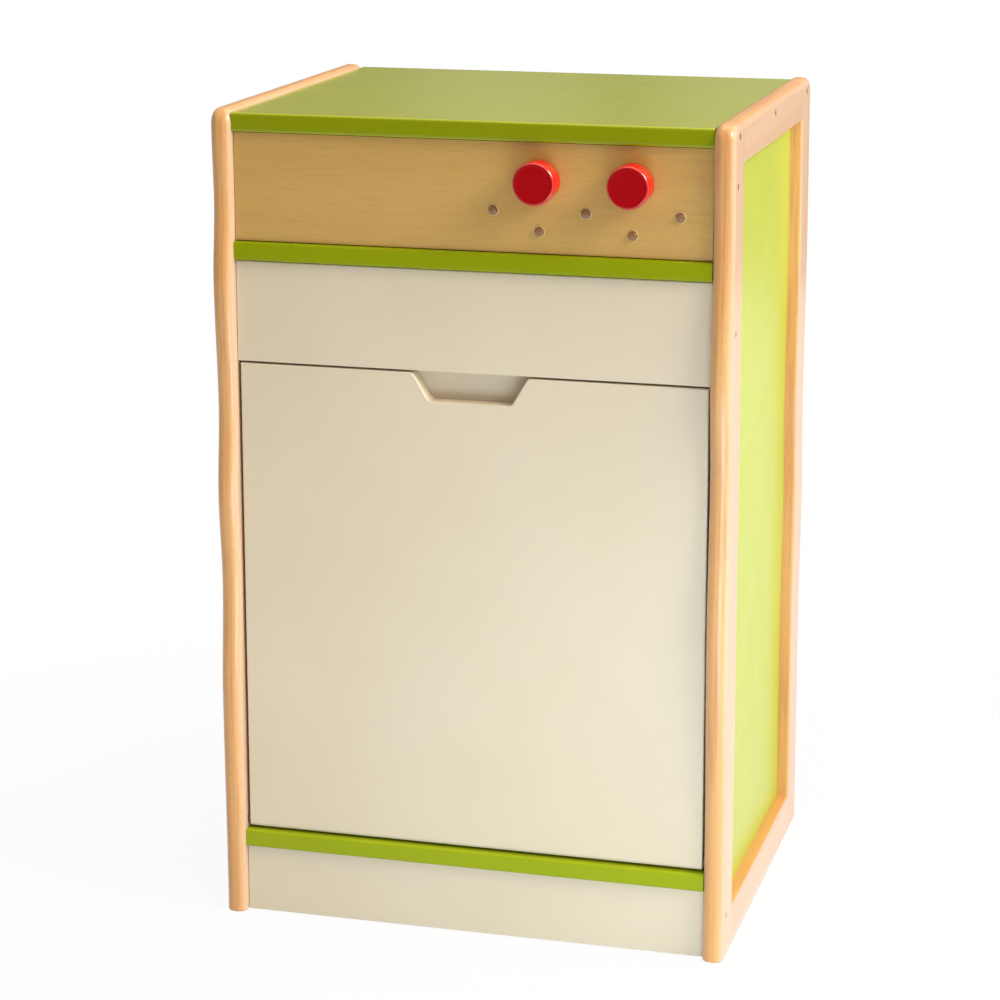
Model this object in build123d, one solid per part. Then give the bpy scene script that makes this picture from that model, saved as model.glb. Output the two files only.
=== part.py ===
from build123d import *
import math
import os

os.makedirs("parts", exist_ok=True)

# A play dishwasher for a nursery, in millimetres. X runs to the right, Y to the back, Z up from the floor.
# The front faces -Y. The origin lies on the floor, under the middle of the whole object's box.

# Cabinet: clear width between the side frames, and the stack of pieces from the floor up
inner_width = 460.0
plinth_height = 68.0
board_thickness = 18.0
door_height = 468.0
door_gap = 2.0
upper_panel_height = 98.0
control_panel_height = 104.0
frame_rise = 4.0

# Depths, measured back from the front edges of the green boards
board_depth = 404.0
panel_recess = 5.0
panel_joint_gap = 0.8
panel_end_gap = 0.5
front_panel_thickness = 18.0
back_panel_thickness = 5.0
board_round = 3.0
panel_round = 1.5
plinth_floor_gap = 1.0

# Side frames: two stiles and two rails round a thin infill panel, with softly waving front and rear edges
frame_thickness = 20.0
frame_lead = 6.0
frame_tail = 2.0
stile_width = 50.0
top_rail_height = 40.0
bottom_rail_height = 40.0
corner_radius = 15.0
bullnose_radius = 8.0
foot_round = 2.0
foot_straight = 12.0
window_round = 2.5
wave_height = 3.0
infill_thickness = 6.0
infill_inset = 2.0
groove_depth = 8.0

# Places of a wave's turns, as shares of the edge's height from the floor, and whether the lowest is a crest
right_front_wave = ((0.14, 0.41, 0.60, 0.71, 0.89), False)
left_front_wave = ((0.29, 0.43, 0.545, 0.65, 0.81, 0.905), True)
rear_wave = ((0.28, 0.46, 0.59, 0.80), False)

# Door: a flap on two pivot pins near its lower edge, with a finger notch in its top edge
door_thickness = 16.0
door_side_gap = 2.5
door_round = 1.5
door_low_round = 4.0
pivot_setback = 7.0
pivot_pin_radius = 3.0
pivot_pin_grip = 28.0
pivot_pin_reach = 11.0
pivot_bush_wall = 2.0
pivot_flange_radius = 6.5
pivot_flange_gap = 0.4
notch_top_width = 112.0
notch_bottom_width = 80.0
notch_depth = 27.0
notch_bottom_radius = 6.0
notch_top_radius = 5.0

# Stop rail behind the top of the door, with its pads, magnets and strike discs
stop_rail_thickness = 12.0
stop_rail_overlap = 40.0
stop_rail_rise = 32.0
stop_rail_gap = 0.6
catch_spread = 150.0
catch_drop = 20.0
magnet_radius = 5.0
magnet_sleeve_wall = 1.5
sleeve_setback = 1.0
catch_gap = 0.4
strike_radius = 9.0
strike_thickness = 2.0
pad_radius = 7.0
pad_spread = 195.0

# Knobs and the five setting pins under them
knob_radius = 20.0
knob_height = 23.5
knob_rim_round = 2.5
knob_gap = 0.5
knob_spacing = 88.0
knob_end_inset = 75.0
knob_drop = 36.0
spindle_radius = 3.0
spindle_grip = 15.0
spindle_bush_wall = 2.0
washer_radius = 9.0
washer_thickness = 1.6
washer_gap = 0.4
nut_across_flats = 10.0
nut_height = 6.0
spindle_tail = 2.0
pin_radius = 4.0
pin_proud = 3.0
pin_depth = 12.0
pin_round = 1.2
side_pin_drop = 28.5
low_pin_drop = 47.0

# Fasteners: dowels, and screws under wooden plugs
dowel_radius = 4.0
dowel_half_length = 18.0
dowel_frame_bite = 12.0
dowel_edge = 12.0
dowel_pitch = 14.0
front_dowel_inset = 35.0
rear_dowel_inset = 25.0
plug_radius = 3.0
plug_length = 5.0
screw_radius = 2.0
screw_head_radius = 2.9
screw_head_length = 3.0
screw_bite = 38.0
screw_inset = 26.0
control_screw_drop = 36.0
plinth_screw_height = 42.0
small_screw_radius = 1.5
small_screw_head_radius = 3.2
small_screw_head_length = 2.2
back_screw_length = 22.0
stop_screw_length = 25.0
strike_screw_length = 11.0
drive_slot_length = 3.6
drive_slot_width = 0.8
drive_slot_depth = 1.0

# Clearance of a pin, dowel, plug or screw in its hole, on the radius
fit = 0.05

# Places worked out from the sizes above
half_inner = inner_width / 2
bottom_board_top = plinth_height + board_thickness
door_bottom = bottom_board_top + door_gap
door_top = door_bottom + door_height
upper_panel_bottom = door_top + door_gap
shelf_bottom = upper_panel_bottom + upper_panel_height
shelf_top = shelf_bottom + board_thickness
top_board_bottom = shelf_top + control_panel_height
top_board_top = top_board_bottom + board_thickness
frame_height = top_board_top + frame_rise
knob_z = top_board_bottom - knob_drop
front_reach = knob_height + knob_gap - panel_recess
back_reach = board_depth + frame_tail + wave_height
front_y = (front_reach - back_reach) / 2
panel_y = front_y + panel_recess
panel_back_y = panel_y + front_panel_thickness
back_y = front_y + board_depth
inner_back_y = back_y - back_panel_thickness
frame_front_y = front_y - frame_lead
frame_rear_y = back_y + frame_tail
pivot_y = panel_y + pivot_setback
pivot_z = door_bottom + pivot_setback
door_back_y = panel_y + door_thickness
stop_front_y = door_back_y + stop_rail_gap
stop_back_y = panel_back_y + stop_rail_thickness
half_door = half_inner - door_side_gap
catch_z = door_top - catch_drop


def save(name, pieces):
    """Write one node: a single solid, or a group of separate ones."""
    solids = list(pieces) if isinstance(pieces, (list, tuple)) else [pieces]
    shape = solids[0] if len(solids) == 1 else Compound(children=solids)
    export_step(shape, "parts/" + name + ".step")


def block(x, y, z):
    """A box between two corners, each axis given as (low, high)."""
    size = (x[1] - x[0], y[1] - y[0], z[1] - z[0])
    middle = ((x[0] + x[1]) / 2, (y[0] + y[1]) / 2, (z[0] + z[1]) / 2)
    return Pos(*middle) * Box(*size)


def rod(start, direction, length, radius):
    """A round rod from a start point along an axis."""
    plane = Plane(origin=start, z_dir=direction)
    return plane * Cylinder(radius, length, align=(Align.CENTER, Align.CENTER, Align.MIN))


def mirrored(pieces):
    """The same pieces on the left side."""
    return [piece.mirror(Plane.YZ) for piece in pieces]


def cut(body, tools):
    """Cut every tool out of a body."""
    for tool in tools:
        body = body - tool
    return body.solids().sort_by(SortBy.VOLUME)[-1]


def wave_points(edge_y, outward, wave, run):
    """Points up a waving edge, from the end of its straight foot to the start of the top corner."""
    places, crest_first = wave
    swing = 1 if crest_first else -1
    points = [(edge_y, foot_straight)]
    for place in places:
        points.append((edge_y + outward * swing * wave_height, place * run))
        swing = -swing
    points.append((edge_y, run))
    return points


def frame_blank(front_wave):
    """A side frame before its window is cut: a plate with waving edges and round top corners."""
    run = frame_height - corner_radius
    front = wave_points(frame_front_y, -1, front_wave, run)
    rear = wave_points(frame_rear_y, 1, rear_wave, run)
    bend = corner_radius * (1 - math.sqrt(0.5))
    outline = Curve() + [
        Line((frame_front_y, 0), (frame_front_y, foot_straight)),
        Spline(*front, tangents=[(0, 1)] * len(front)),
        ThreePointArc(
            (frame_front_y, run),
            (frame_front_y + bend, frame_height - bend),
            (frame_front_y + corner_radius, frame_height),
        ),
        Line((frame_front_y + corner_radius, frame_height), (frame_rear_y - corner_radius, frame_height)),
        ThreePointArc(
            (frame_rear_y - corner_radius, frame_height),
            (frame_rear_y - bend, frame_height - bend),
            (frame_rear_y, run),
        ),
        Spline(*rear, tangents=[(0, 1)] * len(rear)),
        Line((frame_rear_y, 0), (frame_rear_y, foot_straight)),
        Line((frame_front_y, 0), (frame_rear_y, 0)),
    ]
    plate = Pos(half_inner, 0, 0) * extrude(Plane.YZ * make_face(outline), frame_thickness)
    outer = plate.faces().sort_by(Axis.X)[-1].edges()
    inner = plate.faces().sort_by(Axis.X)[0].edges()
    rim = [edge for edge in list(outer) + list(inner) if edge.center().Z > foot_round]
    plate = fillet(rim, bullnose_radius)
    foot = plate.faces().sort_by(Axis.Z)[0].edges()
    return fillet(foot, foot_round)


def window_outline():
    """The window inside the rails and stiles: straight in front, waving with the rear stile behind."""
    low = bottom_rail_height
    high = frame_height - top_rail_height
    front = frame_front_y + stile_width
    rear = frame_rear_y - stile_width
    run = frame_height - corner_radius
    waving = wave_points(rear, 1, rear_wave, run)[1:-1]
    points = [(rear, low)] + waving + [(rear, high)]
    return Curve() + [
        Line((front, low), (front, high)),
        Line((front, high), (rear, high)),
        Spline(*points, tangents=[(0, 1)] * len(points)),
        Line((front, low), (rear, low)),
    ]


def screw_places():
    """Where screws go through a side frame into the boards' and front panels' ends, as (y, z)."""
    board_z = (top_board_bottom + top_board_top) / 2
    panel_mid_y = panel_y + front_panel_thickness / 2
    middle_y = (frame_front_y + frame_rear_y) / 2
    return [
        (frame_front_y + screw_inset, board_z),
        (middle_y, board_z),
        (frame_rear_y - screw_inset, board_z),
        (panel_mid_y, top_board_bottom - control_screw_drop),
        (panel_mid_y, (upper_panel_bottom + shelf_bottom) / 2),
        (panel_mid_y, plinth_screw_height),
    ]


outer_x = half_inner + frame_thickness
head_x = outer_x - plug_length


def side_plugs():
    """Round wooden plugs over the screw heads, flush with the frame."""
    return [rod((outer_x, y, z), (-1, 0, 0), plug_length, plug_radius) for y, z in screw_places()]


def side_screw(y, z):
    """One screw: a flat head under the plug, a shank through the frame and a bite in the board's end."""
    head = rod((head_x, y, z), (-1, 0, 0), screw_head_length, screw_head_radius)
    length = head_x - half_inner + screw_bite
    shank = rod((head_x, y, z), (-1, 0, 0), length, screw_radius)
    return drive_cross(head + shank, (head_x, y, z), (1, 0, 0))


def side_screws():
    """All screws of one side."""
    return [side_screw(y, z) for y, z in screw_places()]


def side_screw_holes():
    """Stepped holes for the plugs, heads and shanks of one side."""
    holes = []
    for y, z in screw_places():
        pocket = plug_length + screw_head_length + fit
        length = head_x - half_inner + screw_bite + fit
        wide = rod((outer_x, y, z), (-1, 0, 0), pocket, plug_radius + fit)
        narrow = rod((head_x, y, z), (-1, 0, 0), length, screw_radius + fit)
        holes.append(wide + narrow)
    return holes


def drive_cross(screw, top, direction):
    """Cut a cross for the driver into a screw's head."""
    plane = Plane(origin=top, z_dir=direction)
    for turn in (0, 90):
        slot = Box(drive_slot_length, drive_slot_width, drive_slot_depth * 2)
        screw = screw - plane * Rot(0, 0, turn) * slot
    return screw.solids().sort_by(SortBy.VOLUME)[-1]


def countersunk_screw(top, direction, length):
    """A small countersunk screw, from the middle of its head's top along its length."""
    plane = Plane(origin=top, z_dir=direction)
    lower = (Align.CENTER, Align.CENTER, Align.MIN)
    head = Cone(small_screw_head_radius, small_screw_radius, small_screw_head_length, align=lower)
    shank = Cylinder(small_screw_radius, length - small_screw_radius, align=lower)
    tip_start = Pos(0, 0, length - small_screw_radius)
    tip = tip_start * Cone(small_screw_radius, small_screw_radius / 4, small_screw_radius, align=lower)
    away = tuple(-part for part in direction)
    return drive_cross(plane * (head + shank + tip), top, away)


def countersunk_hole(top, direction, length):
    """The hole such a screw sits in."""
    plane = Plane(origin=top, z_dir=direction)
    lower = (Align.CENTER, Align.CENTER, Align.MIN)
    wide = small_screw_head_radius + fit
    narrow = small_screw_radius + fit
    head = Cone(wide, narrow, small_screw_head_length, align=lower)
    shank = Cylinder(narrow, length + fit, align=lower)
    return plane * (head + shank)


def frame_dowels(grow):
    """Dowels between rails and stiles, grown by a clearance when they cut their own holes."""
    x = half_inner + frame_thickness / 2
    half = dowel_half_length + grow
    rods = []
    for joint_y in (frame_front_y + stile_width, frame_rear_y - stile_width):
        for edge_z, inward in ((0, 1), (frame_height, -1)):
            for step in (0, 1):
                z = edge_z + inward * (dowel_edge + step * dowel_pitch)
                rods.append(rod((x, joint_y - half, z), (0, 1, 0), 2 * half, dowel_radius + grow))
    return rods


def board_dowels(grow):
    """Dowels that carry the ends of the shelf and the bottom board in the right-hand stiles."""
    start_x = half_inner - dowel_half_length - grow
    length = dowel_half_length + dowel_frame_bite + 2 * grow
    rods = []
    for z in (plinth_height + board_thickness / 2, shelf_bottom + board_thickness / 2):
        for y in (frame_front_y + front_dowel_inset, frame_rear_y - rear_dowel_inset):
            rods.append(rod((start_x, y, z), (1, 0, 0), length, dowel_radius + grow))
    return rods


def pivot_pins(grow):
    """Right-hand door pivot pin, as a list."""
    start = (half_door - pivot_pin_grip - grow, pivot_y, pivot_z)
    length = pivot_pin_grip + door_side_gap + pivot_pin_reach + grow
    return [rod(start, (1, 0, 0), length, pivot_pin_radius + grow)]


def pivot_bush():
    """Right-hand bush: a sleeve in the stile, with a flange that keeps the door off the frame."""
    outside = pivot_pin_radius + pivot_bush_wall
    depth = pivot_pin_reach + pivot_bush_wall
    sleeve = rod((half_inner, pivot_y, pivot_z), (1, 0, 0), depth, outside)
    flange_start = half_door + pivot_flange_gap
    flange = rod((flange_start, pivot_y, pivot_z), (1, 0, 0), half_inner - flange_start, pivot_flange_radius)
    bore_length = half_inner - flange_start + pivot_pin_reach + pivot_flange_gap
    bore = rod((flange_start, pivot_y, pivot_z), (1, 0, 0), bore_length, pivot_pin_radius + fit)
    return cut(sleeve + flange, [bore])


def pivot_bush_hole():
    """The right-hand stile's hole for the bush."""
    radius = pivot_pin_radius + pivot_bush_wall + fit
    return rod((half_inner, pivot_y, pivot_z), (1, 0, 0), pivot_pin_reach + pivot_bush_wall + fit, radius)


def side_frame(front_wave):
    """The four sticks and the infill panel of the right-hand frame."""
    frame = frame_blank(front_wave)
    opening = Pos(half_inner, 0, 0) * extrude(Plane.YZ * make_face(window_outline()), frame_thickness)
    frame = frame - opening
    outer_face = frame.faces().sort_by(Axis.X)[-1]
    frame = fillet(outer_face.inner_wires()[0].edges(), window_round)
    front = frame_front_y + stile_width
    rear = frame_rear_y - stile_width
    low = bottom_rail_height
    high = frame_height - top_rail_height
    panel_x = (half_inner + infill_inset, half_inner + infill_inset + infill_thickness)
    groove = block(
        (panel_x[0] - fit, panel_x[1] + fit),
        (front - groove_depth, rear + groove_depth),
        (low - groove_depth, high + groove_depth),
    )
    tools = [groove, pivot_bush_hole()] + frame_dowels(fit) + board_dowels(fit) + side_screw_holes()
    for tool in tools:
        frame = frame - tool
    beyond = (half_inner - frame_thickness, outer_x + frame_thickness)
    top_zone = block(beyond, (front, rear), (high, frame_height + frame_rise))
    bottom_zone = block(beyond, (front, rear), (-frame_rise, low))
    stiles = (frame - top_zone - bottom_zone).solids().sort_by(Axis.Y)
    slack = groove_depth - fit
    infill = block(panel_x, (front - slack, rear + slack), (low - slack, high + slack))
    return {
        "front_stile": stiles[0],
        "rear_stile": stiles[-1],
        "top_rail": (frame & top_zone).solids().sort_by(SortBy.VOLUME)[-1],
        "bottom_rail": (frame & bottom_zone).solids().sort_by(SortBy.VOLUME)[-1],
        "side_panel": infill,
    }


def both_side_holes():
    """Screw and dowel holes in the cabinet boards, on both sides."""
    right = side_screw_holes() + board_dowels(fit)
    return right + mirrored(right)


def rounded_front(board, radius):
    """Round the two long front edges of a board."""
    front = board.faces().sort_by(Axis.Y)[0]
    return fillet(front.edges().filter_by(Axis.X), radius)


def flat_board(low_z, depth_end):
    """A green board across the cabinet, with rounded front edges."""
    board = block((-half_inner, half_inner), (front_y, depth_end), (low_z, low_z + board_thickness))
    return rounded_front(board, board_round)


def front_panel(low_z, high_z):
    """A panel across the front, set back from the boards' edges, with a shadow gap at each end."""
    half = half_inner - panel_end_gap
    return block((-half, half), (panel_y, panel_back_y), (low_z, high_z))


def back_screw_places():
    """Screws through the back panel into the shelf and the bottom board, as (x, z)."""
    rows = (plinth_height + board_thickness / 2, shelf_bottom + board_thickness / 2)
    spread = half_inner - stile_width
    return [(x, z) for z in rows for x in (-spread, 0, spread)]


def back_screws(make):
    """Make a screw or its hole at each place on the back panel."""
    return [make((x, back_y, z), (0, -1, 0), back_screw_length) for x, z in back_screw_places()]


def stop_screws(make):
    """Make a screw or its hole at each place on the back of the stop rail."""
    z = upper_panel_bottom + stop_rail_rise / 2
    spread = (-catch_spread, 0, catch_spread)
    return [make((x, stop_back_y, z), (0, -1, 0), stop_screw_length) for x in spread]


def magnet_rods(front, radius):
    """One rod per catch, from a front plane through to the back of the stop rail."""
    length = stop_back_y - front
    return [rod((side * catch_spread, front, catch_z), (0, 1, 0), length, radius) for side in (-1, 1)]


def pad_rods(radius):
    """One rod per felt pad, from the pad's front to the plane of the upper front panel's back."""
    start = door_back_y + catch_gap
    length = panel_back_y - start
    return [rod((side * pad_spread, start, catch_z), (0, 1, 0), length, radius) for side in (-1, 1)]


def stop_rail():
    """The strip behind the top of the door: it fits the upper panel's back and steps up close to the door."""
    across = (-half_inner, half_inner)
    low_z = door_top - stop_rail_overlap
    fixed = block(across, (panel_back_y, stop_back_y), (low_z, upper_panel_bottom + stop_rail_rise))
    step = block(across, (stop_front_y, panel_back_y), (low_z, door_top))
    sleeve_holes = magnet_rods(stop_front_y, magnet_radius + magnet_sleeve_wall + fit)
    return cut(fixed + step, sleeve_holes + pad_rods(pad_radius + fit) + stop_screws(countersunk_hole))


def catch_sleeves():
    """Plastic sleeves that hold the catch magnets in the stop rail."""
    sleeves = magnet_rods(door_back_y + catch_gap + sleeve_setback, magnet_radius + magnet_sleeve_wall)
    cores = magnet_rods(door_back_y, magnet_radius + fit)
    return [cut(sleeve, [core]) for sleeve, core in zip(sleeves, cores)]


def catch_magnets():
    """Round magnets, just short of the strike discs on the closed door."""
    return magnet_rods(door_back_y + catch_gap, magnet_radius)


def stop_pads():
    """Felt pads let into the stop rail, a little proud of it, that the closed door leans on."""
    return pad_rods(pad_radius)


def strike_discs():
    """Steel discs let into the back of the door."""
    start = door_back_y - strike_thickness
    discs = []
    for side in (-1, 1):
        disc = rod((side * catch_spread, start, catch_z), (0, 1, 0), strike_thickness, strike_radius)
        discs.append(cut(disc, [strike_screw(countersunk_hole, side)]))
    return discs


def strike_screw(make, side):
    """A screw, or its hole, in the middle of one strike disc."""
    return make((side * catch_spread, door_back_y, catch_z), (0, -1, 0), strike_screw_length)


def notch_tool():
    """The finger notch: a trapezium with rounded lower corners and softened shoulders."""
    low = door_top - notch_depth
    half_top = notch_top_width / 2
    half_low = notch_bottom_width / 2
    above = door_gap * 2
    outline = Polyline(
        (-half_top - notch_top_radius, door_top + above),
        (-half_top - notch_top_radius, door_top),
        (-half_top, door_top),
        (-half_low, low),
        (half_low, low),
        (half_top, door_top),
        (half_top + notch_top_radius, door_top),
        (half_top + notch_top_radius, door_top + above),
        close=True,
    )
    face = make_face(outline)
    low_corners = face.vertices().sort_by(Axis.Y)[0:2]
    face = fillet(low_corners, notch_bottom_radius)
    shoulders = [corner for corner in face.vertices() if abs(abs(corner.X) - half_top) < fit]
    face = fillet(shoulders, notch_top_radius)
    plane = Plane(origin=(0, door_back_y + door_gap, 0), x_dir=(1, 0, 0), z_dir=(0, -1, 0))
    return extrude(plane * face, door_thickness + 2 * door_gap)


def door_panel():
    """The door: flat panel with a finger notch, its lower front edge rounded so that it clears the board."""
    panel = block((-half_door, half_door), (panel_y, door_back_y), (door_bottom, door_top))
    panel = panel - notch_tool()
    front_edges = panel.faces().sort_by(Axis.Y)[0].edges()
    low_edge = front_edges.sort_by(Axis.Z)[0]
    panel = fillet(low_edge, door_low_round)
    front_edges = panel.faces().filter_by(Axis.Y).sort_by(Axis.Y)[0].edges()
    soft = [edge for edge in front_edges if edge.center().Z > door_bottom + door_low_round + door_round]
    panel = fillet(soft, door_round)
    holes = pivot_pins(fit) + mirrored(pivot_pins(fit))
    for side in (-1, 1):
        holes.append(rod(
            (side * catch_spread, door_back_y - strike_thickness - fit, catch_z),
            (0, 1, 0),
            strike_thickness + 2 * fit,
            strike_radius + fit,
        ))
        holes.append(strike_screw(countersunk_hole, side))
    return cut(panel, holes)


def knob_places():
    """Middle of each knob, left one first, measured from the panel's right end."""
    last = half_inner - knob_end_inset
    return [last - knob_spacing, last]


def pin_places():
    """Setting pins at 8, 6 and 4 o'clock of each knob; neighbours share the one between them."""
    left, right = knob_places()
    half = knob_spacing / 2
    side_z = knob_z - side_pin_drop
    low_z = knob_z - low_pin_drop
    high_pins = [(x, side_z) for x in (left - half, left + half, right + half)]
    low_pins = [(x, low_z) for x in (left, right)]
    return high_pins + low_pins


def dial_pins():
    """Short dowel pins with rounded heads, standing a little proud of the control panel."""
    pins = []
    for x, z in pin_places():
        pin = rod((x, panel_y - pin_proud, z), (0, 1, 0), pin_proud + pin_depth, pin_radius)
        head = pin.faces().sort_by(Axis.Y)[0].edges()
        pins.append(fillet(head, pin_round))
    return pins


def control_panel():
    """The natural-wood panel with holes for the knob bushes, the pins and the end screws."""
    panel = front_panel(shelf_top + panel_joint_gap, top_board_bottom - panel_joint_gap)
    bush_radius = spindle_radius + spindle_bush_wall + fit
    holes = [rod((x, panel_y, knob_z), (0, 1, 0), front_panel_thickness, bush_radius) for x in knob_places()]
    for x, z in pin_places():
        holes.append(rod((x, panel_y, z), (0, 1, 0), pin_depth + fit, pin_radius + fit))
    return cut(panel, holes + both_side_holes())


def knob_bushes():
    """Plastic bushes in the control panel that the knob spindles turn in."""
    bushes = []
    for x in knob_places():
        start = (x, panel_y, knob_z)
        sleeve = rod(start, (0, 1, 0), front_panel_thickness, spindle_radius + spindle_bush_wall)
        bore = rod(start, (0, 1, 0), front_panel_thickness, spindle_radius + fit)
        bushes.append(cut(sleeve, [bore]))
    return bushes


knob_back_y = panel_y - knob_gap
washer_y = panel_back_y + washer_gap
nut_y = washer_y + washer_thickness


def knob(x):
    """A turned knob with a rounded rim, bored from behind for its spindle."""
    body = rod((x, knob_back_y, knob_z), (0, -1, 0), knob_height, knob_radius)
    rim = body.faces().sort_by(Axis.Y)[0].edges()
    body = fillet(rim, knob_rim_round)
    back_rim = body.faces().sort_by(Axis.Y)[-1].edges()
    body = fillet(back_rim, panel_round)
    bore = rod((x, knob_back_y, knob_z), (0, -1, 0), spindle_grip + fit, spindle_radius + fit)
    return cut(body, [bore])


def knob_spindle(x):
    """A threaded stud from inside the knob through the panel to its nut."""
    start = knob_back_y - spindle_grip
    length = nut_y + nut_height + spindle_tail - start
    stud = rod((x, start, knob_z), (0, 1, 0), length, spindle_radius)
    ends = stud.edges().filter_by(GeomType.CIRCLE)
    return chamfer(ends, spindle_radius / 6)


def knob_washer(x):
    """A flat washer behind the panel."""
    ring = rod((x, washer_y, knob_z), (0, 1, 0), washer_thickness, washer_radius)
    return cut(ring, [rod((x, washer_y, knob_z), (0, 1, 0), washer_thickness, spindle_radius + fit)])


def knob_nut(x):
    """A lock nut that keeps the spindle in the panel."""
    corner_radius_hex = nut_across_flats / math.sqrt(3)
    hexagon = RegularPolygon(corner_radius_hex, 6)
    plane = Plane(origin=(x, nut_y, knob_z), z_dir=(0, 1, 0))
    nut = extrude(plane * hexagon, nut_height)
    return cut(nut, [rod((x, nut_y, knob_z), (0, 1, 0), nut_height, spindle_radius + fit)])


def build():
    """Make every piece and write it."""
    right = side_frame(right_front_wave)
    left = side_frame(left_front_wave)
    for name in right:
        save("right_" + name, right[name])
        save("left_" + name, left[name].mirror(Plane.YZ))
    groups = {
        "frame_dowels": frame_dowels(0),
        "side_screws": side_screws(),
        "screw_plugs": side_plugs(),
    }
    for name, pieces in groups.items():
        save("right_" + name, pieces)
        save("left_" + name, mirrored(pieces))

    end_holes = both_side_holes()
    save("top_board", cut(flat_board(top_board_bottom, back_y), end_holes))
    board_holes = end_holes + back_screws(countersunk_hole)
    save("shelf_board", cut(flat_board(shelf_bottom, inner_back_y), board_holes))
    save("bottom_board", cut(flat_board(plinth_height, inner_back_y), board_holes))
    save("control_panel", control_panel())
    upper = rounded_front(front_panel(upper_panel_bottom, shelf_bottom - panel_joint_gap), panel_round)
    save("upper_front_panel", cut(upper, end_holes + stop_screws(countersunk_hole)))
    save("plinth", cut(front_panel(plinth_floor_gap, plinth_height - panel_joint_gap), end_holes))
    back = block((-half_inner, half_inner), (inner_back_y, back_y), (plinth_height, top_board_bottom))
    save("back_panel", cut(back, back_screws(countersunk_hole)))
    save("back_panel_screws", back_screws(countersunk_screw))
    save("board_dowels", board_dowels(0) + mirrored(board_dowels(0)))

    save("door_stop_rail", stop_rail())
    save("stop_rail_screws", stop_screws(countersunk_screw))
    save("catch_sleeves", catch_sleeves())
    save("catch_magnets", catch_magnets())
    save("stop_pads", stop_pads())
    save("pivot_bushes", [pivot_bush()] + mirrored([pivot_bush()]))

    save("door_panel", door_panel())
    save("door_pivot_pins", pivot_pins(0) + mirrored(pivot_pins(0)))
    save("strike_discs", strike_discs())
    save("strike_screws", [strike_screw(countersunk_screw, side) for side in (-1, 1)])

    save("dial_pins", dial_pins())
    save("knob_bushes", knob_bushes())
    for side, x in zip(("left", "right"), knob_places()):
        save(side + "_knob", knob(x))
        save(side + "_knob_spindle", knob_spindle(x))
        save(side + "_knob_washer", knob_washer(x))
        save(side + "_knob_nut", knob_nut(x))


build()
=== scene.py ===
import logging
import math
from abc import ABC, abstractmethod
from dataclasses import dataclass, field
from enum import Enum

import bpy
import numpy as np
from mathutils import Matrix, Vector


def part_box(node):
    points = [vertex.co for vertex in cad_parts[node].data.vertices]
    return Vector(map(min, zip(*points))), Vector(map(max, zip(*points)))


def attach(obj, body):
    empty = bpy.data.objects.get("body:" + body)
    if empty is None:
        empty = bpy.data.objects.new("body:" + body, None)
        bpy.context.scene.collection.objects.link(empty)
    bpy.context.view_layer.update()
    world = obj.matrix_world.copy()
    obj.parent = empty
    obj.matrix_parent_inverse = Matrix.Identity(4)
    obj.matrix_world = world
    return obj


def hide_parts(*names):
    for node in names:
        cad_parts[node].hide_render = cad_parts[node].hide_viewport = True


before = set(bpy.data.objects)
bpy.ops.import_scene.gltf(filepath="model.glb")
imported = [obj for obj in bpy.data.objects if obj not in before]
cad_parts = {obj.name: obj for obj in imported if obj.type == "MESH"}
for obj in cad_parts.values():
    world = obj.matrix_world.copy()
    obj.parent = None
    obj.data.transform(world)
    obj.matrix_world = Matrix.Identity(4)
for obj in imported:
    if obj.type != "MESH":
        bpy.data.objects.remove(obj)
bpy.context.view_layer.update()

LOG = logging.getLogger("play_dishwasher")
MM = 0.001
TAU = 2.0 * math.pi
SCALAR = "NodeSocketFloat"
VECTOR = "NodeSocketVector"

Node = bpy.types.Node
NodeTree = bpy.types.NodeTree
Outputs = bpy.types.bpy_prop_collection
Socket = bpy.types.NodeSocket
Material = bpy.types.Material
Place = tuple[float, float, float]
Shape = tuple[np.ndarray, list]


class Grain(Enum):
    """The axis that the wood's fibres run along, as the turn that brings it to local Z."""

    ALONG_X = (0.0, math.pi / 2, 0.0)
    ALONG_Y = (math.pi / 2, 0.0, 0.0)
    ALONG_Z = (0.0, 0.0, 0.0)


def linear(red: int, green: int, blue: int) -> tuple[float, float, float, float]:
    """Turn a colour as it looks on a screen, 0 to 255, into Blender's linear colour.

    Args:
        red: Red of the screen colour.
        green: Green of the screen colour.
        blue: Blue of the screen colour.

    Returns:
        The linear colour with full alpha.
    """
    def one(value: int) -> float:
        """Undo the screen's curve for one channel."""
        share = value / 255.0
        return share / 12.92 if share <= 0.04045 else ((share + 0.055) / 1.055) ** 2.4

    return (one(red), one(green), one(blue), 1.0)


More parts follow.
